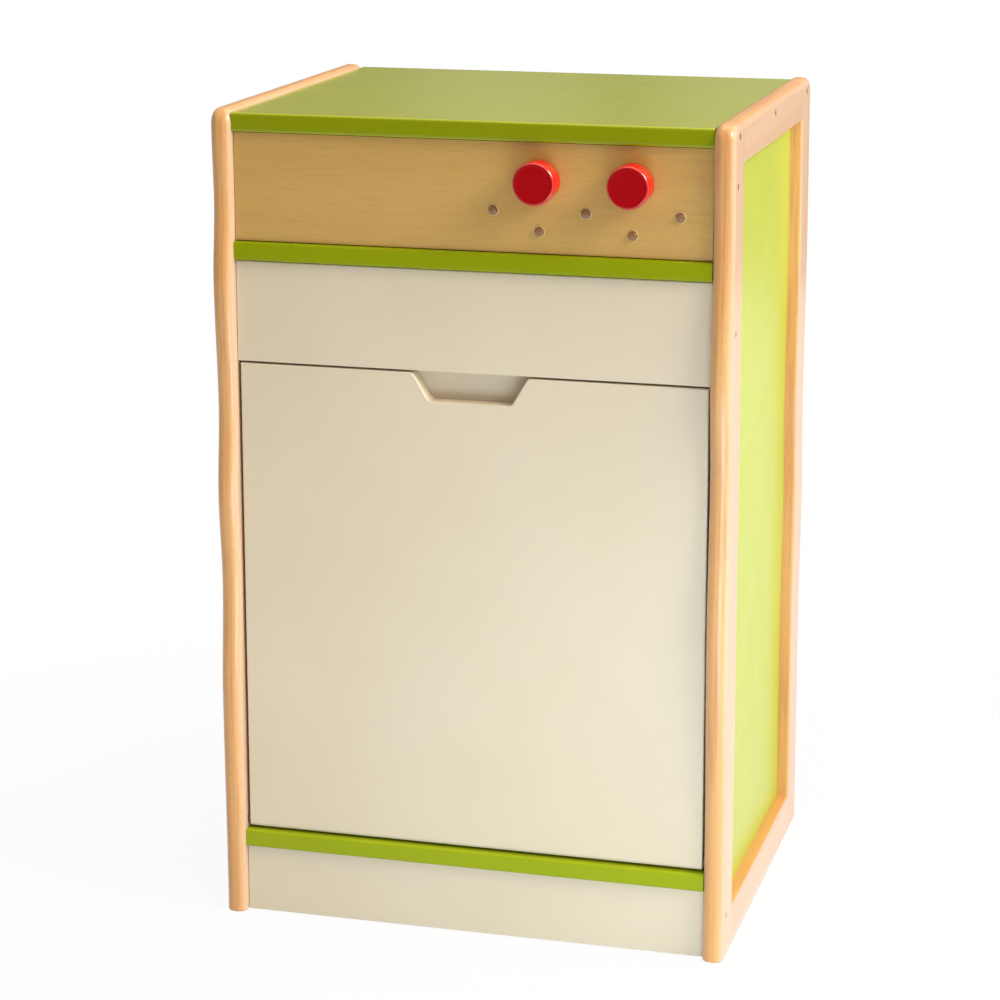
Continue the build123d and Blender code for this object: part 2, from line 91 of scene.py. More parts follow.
class Graph:
    """A small helper that adds and wires nodes in one tree."""

    def __init__(self, tree: NodeTree) -> None:
        """Keep the tree that is filled."""
        self.tree = tree

    def add(self, kind: str, **settings: object) -> Node:
        """Add one node and set its own properties.

        Args:
            kind: Blender's name of the node type.
            settings: Properties of the node by name.

        Returns:
            The new node.
        """
        node = self.tree.nodes.new(kind)
        for name, value in settings.items():
            setattr(node, name, value)
        return node

    def wire(self, source: Socket, target: Socket) -> None:
        """Link an output to an input."""
        self.tree.links.new(source, target)

    def feed(self, node: Node, inputs: dict) -> Node:
        """Fill a node's inputs with values or links.

        Args:
            node: The node to fill.
            inputs: Socket name or number to a value or an output socket.

        Returns:
            The same node.
        """
        for name, value in inputs.items():
            if isinstance(value, Socket):
                self.wire(value, node.inputs[name])
            else:
                node.inputs[name].default_value = value
        return node

    def math(self, operation: str, first: object, second: object, third: object = 0.0) -> Socket:
        """Add a Math node for numbers or sockets, and return its result's socket."""
        node = self.add("ShaderNodeMath", operation=operation)
        return self.feed(node, {0: first, 1: second, 2: third}).outputs[0]

    def scaled(self, value: object, factor: object, plus: object = 0.0) -> Socket:
        """Return a value times a factor, plus a number or another value."""
        return self.math("MULTIPLY_ADD", value, factor, plus)

    def vector(self, operation: str, first: object, second: object = (0.0, 0.0, 0.0)) -> Node:
        """Add a Vector Math node, whose output is "Vector" or "Value"."""
        node = self.add("ShaderNodeVectorMath", operation=operation)
        return self.feed(node, {0: first, 1: second})

    def blend(self, share: object, first: object, second: object, mode: str = "MIX") -> Socket:
        """Mix two colours by the share of the second, and return the mixed colour's socket."""
        node = self.add("ShaderNodeMix", data_type="RGBA", blend_type=mode)
        return self.feed(node, {0: share, 6: first, 7: second}).outputs[2]

    def ramp(self, value: Socket, low: float, high: float) -> Socket:
        """Stretch values from low to high to 0 to 1, clamped, with smooth ends."""
        node = self.add("ShaderNodeMapRange", interpolation_type="SMOOTHSTEP")
        return self.feed(node, {"Value": value, "From Min": low, "From Max": high}).outputs["Result"]

    def noise(self, point: Socket, scale: object, detail: float, rough: float = 0.55) -> Socket:
        """Add a noise texture.

        Args:
            point: Where it is sampled.
            scale: How many features lie in a metre, a number or a socket.
            detail: How many finer layers it has.
            rough: How strong each finer layer is.

        Returns:
            The socket of its value, 0 to 1.
        """
        node = self.add("ShaderNodeTexNoise")
        inputs = {"Vector": point, "Scale": scale, "Detail": detail, "Roughness": rough}
        return self.feed(node, inputs).outputs["Fac"]

    def cells(self, point: Socket, scale: float) -> Socket:
        """Add a Voronoi texture and return the socket of the distance to the nearest cell's middle."""
        node = self.add("ShaderNodeTexVoronoi", feature="F1")
        return self.feed(node, {"Vector": point, "Scale": scale}).outputs["Distance"]

    def flipped(self, value: Socket) -> Socket:
        """Return 1 minus a value."""
        return self.math("SUBTRACT", 1.0, value)


class EffectGroups:
    """The shader node groups that several materials share."""

    @staticmethod
    def start(name: str, inputs: dict[str, str], outputs: tuple[str, ...]) -> tuple:
        """Open a new group with named sockets.

        Args:
            name: The group's name.
            inputs: Socket name to socket type.
            outputs: Names of the outputs, which are all plain values.

        Returns:
            The group, its graph, the sockets that its inputs arrive at, and its output node.
        """
        group = bpy.data.node_groups.new(name, "ShaderNodeTree")
        for label, kind in inputs.items():
            group.interface.new_socket(name=label, in_out="INPUT", socket_type=kind)
        for label in outputs:
            group.interface.new_socket(name=label, in_out="OUTPUT", socket_type=SCALAR)
        graph = Graph(group)
        return group, graph, graph.add("NodeGroupInput").outputs, graph.add("NodeGroupOutput")

    @classmethod
    def wood_grain(cls) -> NodeTree:
        """Build the grain of beech: fibres along local Z, broad tone bands, streaks and short ray flecks.

        Returns:
            The group, with outputs Fibre, Tone, Streak and Fleck, all 0 to 1, and Height, -0.5 to 1.
        """
        outputs = ("Fibre", "Tone", "Streak", "Fleck", "Height")
        group, graph, given, end = cls.start("beech grain", {"Vector": VECTOR, "Seed": SCALAR}, outputs)
        shift = graph.add("ShaderNodeCombineXYZ")
        graph.feed(shift, {axis: given["Seed"] for axis in "XYZ"})
        moved = graph.vector("ADD", given["Vector"], shift.outputs[0]).outputs["Vector"]

        def stretched(across: float, along: float, detail: float) -> Socket:
            """Sample noise on a point that is scaled so that features run along the fibres."""
            point = graph.vector("MULTIPLY", moved, (across, across, along)).outputs["Vector"]
            return graph.noise(point, 1.0, detail)

        fibre = stretched(across=700.0, along=26.0, detail=3.0)
        fleck = graph.ramp(stretched(across=900.0, along=130.0, detail=1.0), low=0.60, high=0.72)
        graph.feed(end, {
            "Fibre": fibre,
            "Tone": graph.ramp(stretched(across=34.0, along=1.9, detail=2.0), low=0.34, high=0.66),
            "Streak": graph.ramp(stretched(across=230.0, along=5.5, detail=2.0), low=0.50, high=0.72),
            "Fleck": fleck,
            "Height": graph.scaled(fleck, -0.5, fibre),
        })
        return group

    @classmethod
    def paint_skin(cls) -> NodeTree:
        """Build sprayed and rolled paint: orange peel, roller mottling, rubbed patches and a few nibs.

        Returns:
            The group, with outputs Mottle and Sheen, both 0 to 1, and Height, 0 to 1.6.
        """
        inputs = {"Vector": VECTOR, "Peel Scale": SCALAR}
        group, graph, given, end = cls.start("paint skin", inputs, ("Mottle", "Sheen", "Height"))
        point = given["Vector"]
        peel = graph.noise(point, given["Peel Scale"], detail=2.0)
        mottle = graph.noise(point, 5.0, detail=3.0, rough=0.6)
        rub = graph.noise(point, 22.0, detail=4.0, rough=0.65)
        nib = graph.flipped(graph.ramp(graph.cells(point, 60.0), low=0.03, high=0.07))
        graph.feed(end, {
            "Mottle": graph.ramp(mottle, low=0.3, high=0.7),
            "Sheen": graph.ramp(rub, low=0.3, high=0.7),
            "Height": graph.scaled(nib, 0.6, peel),
        })
        return group

    @classmethod
    def arris(cls) -> NodeTree:
        """Build masks from the way a surface faces in the piece's own space.

        A rounded edge of a board is where the normal points along no axis. Rub is that edge, broken up
        by noise. Side is 1 where the surface faces left or right, as the broad faces of the side frames
        do, and Front is 1 where it faces forwards or back.

        Returns:
            The group, with outputs Edge, Rub, Side and Front, all 0 to 1.
        """
        inputs = {"Vector": VECTOR, "Normal": VECTOR}
        group, graph, given, end = cls.start("arris", inputs, ("Edge", "Rub", "Side", "Front"))
        # Side, Front and Edge also lay painted light and painted shade in some finishes.
        size = graph.vector("ABSOLUTE", given["Normal"]).outputs["Vector"]
        x, y, z = graph.feed(graph.add("ShaderNodeSeparateXYZ"), {0: size}).outputs
        widest = graph.math("MAXIMUM", x, graph.math("MAXIMUM", y, z))
        edge = graph.flipped(graph.ramp(widest, low=0.80, high=0.985))
        patch = graph.ramp(graph.noise(given["Vector"], 45.0, detail=4.0), low=0.38, high=0.62)
        graph.feed(end, {
            "Edge": edge,
            "Rub": graph.scaled(edge, patch),
            "Side": graph.ramp(x, low=0.45, high=0.97),
            "Front": graph.ramp(y, low=0.55, high=0.97),
        })
        return group


@dataclass
class FinishKit:
    """The shared groups, handed to every finish."""

    grain: NodeTree
    skin: NodeTree
    arris: NodeTree


def new_material(name: str) -> tuple[Material, Graph, Node]:
    """Make an empty material.

    Args:
        name: The material's name.

    Returns:
        The material, its graph and its output node.
    """
    material = bpy.data.materials.new(name)
    material.use_nodes = True
    material.node_tree.nodes.clear()
    graph = Graph(material.node_tree)
    return material, graph, graph.add("ShaderNodeOutputMaterial")


class Surface(Graph):
    """A material under way: a Principled shader, fed from the coordinates of the piece itself."""

    def __init__(self, name: str, kit: FinishKit) -> None:
        """Start the material.

        Args:
            name: The material's name.
            kit: The shared groups.
        """
        self.material, graph, output = new_material(name)
        super().__init__(graph.tree)
        self.kit = kit
        self.shader = self.add("ShaderNodeBsdfPrincipled")
        self.wire(self.shader.outputs[0], output.inputs[0])
        given = self.add("ShaderNodeTexCoord").outputs
        self.point = given["Object"]
        self.normal = given["Normal"]

    def place_group(self, tree: NodeTree, inputs: dict) -> Outputs:
        """Place a shared group and return its outputs by name."""
        return self.feed(self.add("ShaderNodeGroup", node_tree=tree), inputs).outputs

    def skin(self, scale: float) -> Outputs:
        """Place the paint group, with an orange peel of this scale."""
        return self.place_group(self.kit.skin, {"Vector": self.point, "Peel Scale": scale})

    def faces(self) -> Outputs:
        """Place the group of masks for edges and for the ways that faces look."""
        return self.place_group(self.kit.arris, {"Vector": self.point, "Normal": self.normal})

    def grain(self, grain: Grain, seed: float) -> Outputs:
        """Place the wood group, with its fibres along an axis and its pattern moved by the seed."""
        turn = self.feed(self.add("ShaderNodeMapping"), {"Vector": self.point, "Rotation": grain.value})
        return self.place_group(self.kit.grain, {"Vector": turn.outputs[0], "Seed": seed})

    def tint(self, mask: Socket, share: float, under: object, over: object, mode: str = "MIX") -> Socket:
        """Lay a colour over another where a mask is, as strongly as the share says."""
        return self.blend(self.scaled(mask, share), under, over, mode)

    def finish(
            self, colour: Socket, rough: Socket, height: Socket, depth: float,
            **others: object) -> Material:
        """Wire up the shader and set its other inputs.

        Args:
            colour: The base colour's socket.
            rough: The roughness socket.
            height: The socket of the bump's height, in steps.
            depth: Height of a full step, in metres.
            others: Name of an input of the shader, with underscores for spaces, to a value or socket.

        Returns:
            The finished material.
        """
        bump = self.add("ShaderNodeBump")
        self.feed(bump, {"Height": height, "Distance": depth, "Strength": 1.0})
        inputs = {"Base Color": colour, "Roughness": rough, "Normal": bump.outputs[0]}
        inputs.update({name.replace("_", " "): value for name, value in others.items()})
        self.feed(self.shader, inputs)
        return self.material


class Finish(ABC):
    """A finish, which lays its colour, roughness and bump on a surface."""

    name: str

    def build(self, kit: FinishKit) -> Material:
        """Make the material from the shared groups."""
        return self.paint(Surface(self.name, kit))

    @abstractmethod
    def paint(self, surface: Surface) -> Material:
        """Lay the finish on a new surface and return its material."""


@dataclass(frozen=True)
class BeechTones:
    """The colours of solid beech: on its edges and ends, on its broad side faces, painted paler there as
    painted light and sheen, and in its streaks.
    """

    light: tuple
    dark: tuple
    painted_lit_side_light: tuple
    painted_lit_side_dark: tuple
    streak: tuple


@dataclass(frozen=True)
class VarnishedBeech(Finish):
    """Solid beech under clear varnish: one tone on its edges and ends, and a paler one on its side faces as
    painted light and sheen.
    """

    name: str
    grain: Grain
    seed: float
    tones: BeechTones
    least_roughness: float = 0.30
    coat: float = 0.35
    coat_roughness: float = 0.16
    edge_streaks: float = 0.42
    side_streaks: float = 0.25
    fibres: float = 0.16
    flecks: float = 0.22
    fibre_roughness: float = 0.14
    rubbed_roughness: float = -0.05
    depth: float = 0.06 * MM

    def paint(self, surface: Surface) -> Material:
        """Lay the finish on a new surface.

        Args:
            surface: The material under way.

        Returns:
            The finished material.
        """
        grain = surface.grain(self.grain, self.seed)
        faces = surface.faces()
        tones = self.tones
        edge = surface.blend(grain["Tone"], tones.light, tones.dark)
        edge = surface.tint(grain["Streak"], self.edge_streaks, edge, tones.streak)
        # The faces that look left or right take a paler tone: painted light and sheen, not another wood.
        side = surface.blend(grain["Tone"], tones.painted_lit_side_light, tones.painted_lit_side_dark)
        side = surface.tint(grain["Streak"], self.side_streaks, side, tones.painted_lit_side_dark)
        colour = surface.blend(faces["Side"], edge, side)
        colour = surface.tint(grain["Fibre"], self.fibres, colour, tones.streak, "MULTIPLY")
        colour = surface.tint(grain["Fleck"], self.flecks, colour, tones.streak)
        rough = surface.scaled(grain["Fibre"], self.fibre_roughness, self.least_roughness)
        rough = surface.scaled(faces["Rub"], self.rubbed_roughness, rough)
        return surface.finish(colour, rough, grain["Height"], self.depth,
                              Coat_Weight=self.coat, Coat_Roughness=self.coat_roughness)


@dataclass(frozen=True)
class VeneeredBoard(Finish):
    """A board faced with sliced beech: fine lines and dashes of ray fleck run along the grain."""

    name: str
    grain: Grain
    seed: float
    light: tuple
    dark: tuple
    line: tuple
    least_roughness: float = 0.38
    coat: float = 0.15
    coat_roughness: float = 0.25
    peel_scale: float = 500.0
    mottling: float = 0.5
    streaks: float = 0.10
    dashes: float = 0.30
    flecks: float = 0.35
    dash_roughness: float = 0.10
    depth: float = 0.04 * MM

    def paint(self, surface: Surface) -> Material:
        """Lay the finish on a new surface.

        Args:
            surface: The material under way.

        Returns:
            The finished material.
        """
        grain = surface.grain(self.grain, self.seed)
        dash = surface.ramp(grain["Fibre"], low=0.48, high=0.66)
        colour = surface.blend(grain["Tone"], self.light, self.dark)
        colour = surface.tint(surface.skin(self.peel_scale)["Mottle"], self.mottling, colour, self.dark)
        colour = surface.tint(grain["Streak"], self.streaks, colour, self.line)
        colour = surface.tint(dash, self.dashes, colour, self.line)
        colour = surface.tint(grain["Fleck"], self.flecks, colour, self.line)
        rough = surface.scaled(dash, self.dash_roughness, self.least_roughness)
        return surface.finish(colour, rough, grain["Height"], self.depth,
                              Coat_Weight=self.coat, Coat_Roughness=self.coat_roughness)


@dataclass(frozen=True)
class SatinPaint(Finish):
    """Paint on board, a little thinner and shinier where its edges are rubbed.

    The front colour, where one is given, lies on the faces that look forwards or back; on the top board it
    is a darker copy of the paint, as painted shade.
    """

    name: str
    colour: tuple
    shade: tuple
    rubbed: tuple
    roughness: float
    gloss: float = 0.35
    coat: float = 0.0
    coat_roughness: float = 0.12
    peel_scale: float = 420.0
    front: tuple | None = None
    mottling: float = 0.6
    rubbing: float = 0.5
    sheen_roughness: float = 0.05
    rubbed_roughness: float = -0.05
    depth: float = 0.02 * MM

    def paint(self, surface: Surface) -> Material:
        """Lay the finish on a new surface.

        Args:
            surface: The material under way.

        Returns:
            The finished material.
        """
        skin = surface.skin(self.peel_scale)
        faces = surface.faces()
        colour = surface.tint(skin["Mottle"], self.mottling, self.colour, self.shade)
        colour = surface.tint(faces["Rub"], self.rubbing, colour, self.rubbed)
        # The front colour is painted shade: a darker copy of the paint on the faces that look forwards or
        # back.
        if self.front is not None:
            colour = surface.blend(faces["Front"], colour, self.front)
        middle = self.roughness - self.sheen_roughness / 2
        rough = surface.scaled(skin["Sheen"], self.sheen_roughness, middle)
        rough = surface.scaled(faces["Rub"], self.rubbed_roughness, rough)
        return surface.finish(colour, rough, skin["Height"], self.depth, Specular_IOR_Level=self.gloss,
                              Coat_Weight=self.coat, Coat_Roughness=self.coat_roughness)


@dataclass(frozen=True)
class GlossLacquer(Finish):
    """Gloss lacquer on turned wood, with faint rings left by the turning: its face is painted a deeper red
    as painted shade, and its side a brighter red as painted light.
    """

    name: str
    axis_x: float
    axis_z: float
    colour: tuple
    shade: tuple
    face: tuple
    roughness: float = 0.26
    gloss: float = 0.16
    coat_roughness: float = 0.08
    coat_ior: float = 1.8
    coat_on_edges: float = 0.9
    coat_elsewhere: float = 0.02
    ring_scale: float = 130.0
    peel_scale: float = 160.0
    mottling: float = 0.5
    rings: float = 0.12
    ring_height: float = 0.3
    sheen_roughness: float = 0.06
    rubbed_roughness: float = 0.05
    depth: float = 0.01 * MM

    def paint(self, surface: Surface) -> Material:
        """Lay the finish on a new surface.

        Args:
            surface: The material under way.

        Returns:
            The finished material.
        """
        centred = surface.add("ShaderNodeMapping")
        surface.feed(centred, {"Vector": surface.point, "Location": (-self.axis_x, 0.0, -self.axis_z)})
        wave = surface.add("ShaderNodeTexWave", wave_type="RINGS", rings_direction="Y")
        inputs = {"Vector": centred.outputs[0], "Scale": self.ring_scale, "Distortion": 0.6, "Detail": 1.0}
        ring = surface.feed(wave, inputs).outputs["Fac"]
        skin = surface.skin(self.peel_scale)
        faces = surface.faces()
        colour = surface.tint(skin["Mottle"], self.mottling, self.colour, self.shade)
        # The face, which looks forwards, takes a deeper red as painted shade; the side keeps the brighter
        # red as painted light.
        colour = surface.blend(faces["Front"], colour, self.face)
        colour = surface.tint(ring, self.rings, colour, self.face)
        rough = surface.scaled(skin["Sheen"], self.sheen_roughness, self.roughness)
        rough = surface.scaled(faces["Rub"], self.rubbed_roughness, rough)
        height = surface.scaled(ring, self.ring_height, skin["Height"])
        coat = surface.scaled(faces["Edge"], self.coat_on_edges, self.coat_elsewhere)
        return surface.finish(colour, rough, height, self.depth, Specular_IOR_Level=self.gloss,
                              Coat_Weight=coat, Coat_Roughness=self.coat_roughness, Coat_IOR=self.coat_ior)


@dataclass(frozen=True)
class EndGrain(Finish):
    """Oiled end grain of a dowel, with growth rings, pores and a rim darkened as painted shade."""

    name: str
    light: tuple
    dark: tuple
    roughness: float = 0.24
    coat: float = 0.6
    coat_roughness: float = 0.12
    ring_scale: float = 190.0
    pore_scale: float = 1900.0
    peel_scale: float = 1500.0
    rings: float = 0.35
    pores: float = 0.5
    # How strongly the rounded rim is darkened, as painted shade.
    rim: float = 0.6
    sheen_roughness: float = 0.12
    depth: float = 0.06 * MM

    def paint(self, surface: Surface) -> Material:
        """Lay the finish on a new surface.

        Args:
            surface: The material under way.

        Returns:
            The finished material.
        """
        wave = surface.add("ShaderNodeTexWave", wave_type="BANDS", bands_direction="DIAGONAL")
        inputs = {"Vector": surface.point, "Scale": self.ring_scale, "Distortion": 4.0, "Detail": 2.0}
        ring = surface.feed(wave, inputs).outputs["Fac"]
        cells = surface.cells(surface.point, self.pore_scale)
        pore = surface.flipped(surface.ramp(cells, low=0.15, high=0.40))
        skin = surface.skin(self.peel_scale)
        colour = surface.tint(ring, self.rings, self.light, self.dark)
        colour = surface.tint(pore, self.pores, colour, self.dark)
        # The rounded rim is darkened as painted shade; the flat plugs have no rim to darken.
        colour = surface.tint(surface.faces()["Edge"], self.rim, colour, self.dark)
        rough = surface.scaled(skin["Sheen"], self.sheen_roughness, self.roughness)
        height = surface.math("SUBTRACT", skin["Height"], pore)
        return surface.finish(colour, rough, height, self.depth,
                              Coat_Weight=self.coat, Coat_Roughness=self.coat_roughness)


@dataclass(frozen=True)
class Metal(Finish):
    """Plated steel with dull patches and brighter edges."""

    name: str
    colour: tuple
    shade: tuple
    roughness: float
    worn: tuple = linear(228, 228, 230)
    peel_scale: float = 1800.0
    mottling: float = 0.6
    wear: float = 0.6
    sheen_roughness: float = 0.15
    depth: float = 0.03 * MM

    def paint(self, surface: Surface) -> Material:
        """Lay the finish on a new surface.

        Args:
            surface: The material under way.

        Returns:
            The finished material.
        """
        skin = surface.skin(self.peel_scale)
        colour = surface.tint(skin["Mottle"], self.mottling, self.colour, self.shade)
        colour = surface.tint(surface.faces()["Rub"], self.wear, colour, self.worn)
        rough = surface.scaled(skin["Sheen"], self.sheen_roughness, self.roughness)
        return surface.finish(colour, rough, skin["Height"], self.depth, Metallic=1.0)


@dataclass(frozen=True)
class SoftTrim(Finish):
    """Moulded nylon or pressed felt."""

    name: str
    colour: tuple
    shade: tuple
    roughness: float
    scale: float
    depth: float
    mottled_roughness: float = 0.08

    def paint(self, surface: Surface) -> Material:
        """Lay the finish on a new surface.

        Args:
            surface: The material under way.

        Returns:
            The finished material.
        """
        skin = surface.skin(self.scale)
        colour = surface.blend(skin["Sheen"], self.colour, self.shade)
        rough = surface.scaled(skin["Mottle"], self.mottled_roughness, self.roughness)
        return surface.finish(colour, rough, skin["Height"], self.depth)


def arc(centre: tuple[float, float], radius: float, start: float, stop: float, steps: int) -> np.ndarray:
    """Points (radius, height) on an arc of a profile: centre plus radius times the angle's cosine and sine.

    Args:
        centre: The arc's centre in the profile's plane.
        radius: The arc's radius.
        start: First angle in degrees.
        stop: Last angle in degrees.
        steps: How many points.

    Returns:
        An array of steps rows and two columns.
    """
    angle = np.radians(np.linspace(start, stop, steps))
    return np.stack([centre[0] + radius * np.cos(angle), centre[1] + radius * np.sin(angle)], axis=1)


def turned(profile: np.ndarray, centres: list[Place], segments: int) -> Shape:
    """Turn a profile round a line that runs forwards, once at each centre.

    With radius r and height h of the profile, angle t and centre c, a point is
    (c.x + r cos t, c.y - h, c.z + r sin t). A profile that starts and ends on the axis closes in two poles,
    and any other one closes on itself as a ring.

    Args:
        profile: Rows of radius and height in metres, in the order from the back outwards to the front.
        centres: Where height 0 of each turned form is.
        segments: Steps round the axis.

    Returns:
        All points as rows, and the faces as lists of point numbers.
    """
    capped = profile[0, 0] == 0.0
    rings = profile[1:-1] if capped else profile
    angle = np.arange(segments) * TAU / segments
    radius = rings[:, :1]
    ahead = np.repeat(rings[:, 1:], segments, axis=1)
    points = np.stack([radius * np.cos(angle), -ahead, radius * np.sin(angle)], axis=2).reshape(-1, 3)
    count = len(rings)
    row = np.arange(count - 1 if capped else count)
    lower, column = np.meshgrid(row, np.arange(segments), indexing="ij")
    upper = (lower + 1) % count
    beside = (column + 1) % segments
    corners = (lower * segments + column, lower * segments + beside,
               upper * segments + beside, upper * segments + column)
    faces = np.stack(corners, axis=2).reshape(-1, 4).tolist()
    if capped:
        back_pole, front_pole = len(points), len(points) + 1
        poles = np.array([[0.0, -profile[0, 1], 0.0], [0.0, -profile[-1, 1], 0.0]])
        points = np.concatenate([points, poles])
        step = np.arange(segments)
        following = (step + 1) % segments
        last = (count - 1) * segments
        faces += np.stack([following, step, np.full(segments, back_pole)], axis=1).tolist()
        faces += np.stack([last + step, last + following, np.full(segments, front_pole)], axis=1).tolist()
    all_points = np.concatenate([points + np.array(centre) for centre in centres])
    starts = range(0, len(all_points), len(points))
    return all_points, [[corner + start for corner in face] for start in starts for face in faces]


def make_piece(name: str, shape: Shape, material: Material, body: str) -> bpy.types.Object:
    """Put a worked-out surface into the scene as a smooth piece that rides on a body.

    Args:
        name: The piece's name.
        shape: Its points and faces.
        material: Its finish.
        body: The CAD body that it moves with.

    Returns:
        The new object.
    """
    sharp_edge = math.radians(38.0)
    mesh = bpy.data.meshes.new(name)
    mesh.from_pydata(shape[0].tolist(), [], shape[1])
    mesh.shade_smooth()
    mesh.set_sharp_from_angle(angle=sharp_edge)
    mesh.materials.append(material)
    piece = bpy.data.objects.new(name, mesh)
    bpy.context.scene.collection.objects.link(piece)
    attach(piece, body)
    LOG.info("made %s of %d faces on %s", name, len(shape[1]), body)
    return piece


def dress(node: str, material: Material) -> None:
    """Give a CAD node its finish.

    Args:
        node: The CAD node's name.
        material: The finish.
    """
    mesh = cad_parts[node].data
    mesh.materials.clear()
    mesh.materials.append(material)
    LOG.info("dressed %s in %s", node, material.name)


@dataclass(frozen=True)
class SoftWindow:
    """A soft patch of light in the surrounding room, as from a window or a pale wall.

    It is full within the inner angle of its middle and fades out to the outer one, both in degrees. A flat
    value below 1 draws it out up and down into a band.
    """

    towards: Place
    inner: float
    outer: float
    level: float
    flat: float = 1.0

    def build(self, graph: Graph, way: Socket) -> Socket:
        """Add the patch's brightness for every direction.

        Args:
            graph: The world's graph.
            way: The direction looked in, of length 1.

        Returns:
            The brightness socket.
        """
        axis = Vector((self.towards[0], self.towards[1], self.towards[2] * self.flat)).normalized()
        pressed = graph.vector("MULTIPLY", way, (1.0, 1.0, self.flat)).outputs["Vector"]
        unit = graph.vector("NORMALIZE", pressed).outputs["Vector"]
        near = graph.vector("DOT_PRODUCT", unit, tuple(axis)).outputs["Value"]
        outer, inner = (math.cos(math.radians(angle)) for angle in (self.outer, self.inner))
        return graph.scaled(graph.ramp(near, outer, inner), self.level)


@dataclass(frozen=True)
class SoftLamp:
    """One square soft lamp, with its place, target and size in metres and its power in watts."""

    name: str
    place: Place
    target: Place
    size: float
    watts: float
    colour: tuple[float, float, float]

    def build(self) -> None:
        """Hang the lamp."""
        data = bpy.data.lights.new(self.name, "AREA")
        data.shape = "SQUARE"
        data.size = self.size
        data.energy = self.watts
        data.color = self.colour
        lamp = bpy.data.objects.new(self.name, data)
        bpy.context.scene.collection.objects.link(lamp)
        turn = (Vector(self.target) - Vector(self.place)).to_track_quat("-Z", "Y").to_matrix()
        lamp.matrix_world = Matrix.Translation(self.place) @ turn.to_4x4()


MIDDLE = (0.0, 0.0, 0.4)
LAMPS = (
    SoftLamp("key_right", (2.45, -0.80, 2.35), MIDDLE, 1.15, 80.0, (1.0, 0.965, 0.90)),
    SoftLamp("front_low", (0.40, -0.85, 0.10), (0.0, -0.2, 0.02), 0.5, 5.2, (0.58, 0.81, 1.0)),
    SoftLamp("top_soft", (0.2, 0.4, 2.6), MIDDLE, 1.6, 11.0, (1.0, 0.97, 0.90)),
)
ROOM_WINDOWS = (
    SoftWindow(towards=(1.0, 0.0, 0.25), inner=15.0, outer=80.0, level=0.98),
    SoftWindow(towards=(0.1, 0.1, 1.0), inner=10.0, outer=80.0, level=0.68),
    SoftWindow(towards=(-0.16, 1.0, 0.22), inner=0.5, outer=4.5, level=0.18, flat=0.3),
    SoftWindow(towards=(-0.275, 1.0, 0.22), inner=0.5, outer=3.0, level=0.16, flat=0.3),
    SoftWindow(towards=(-0.25, 1.0, 0.15), inner=15.0, outer=60.0, level=0.05),
    SoftWindow(towards=(-1.0, 0.1, 0.25), inner=15.0, outer=65.0, level=0.42),
)
WHITE_WALL_BEHIND = SoftWindow(towards=(-0.25, 1.0, 0.0), inner=10.0, outer=80.0, level=0.06)


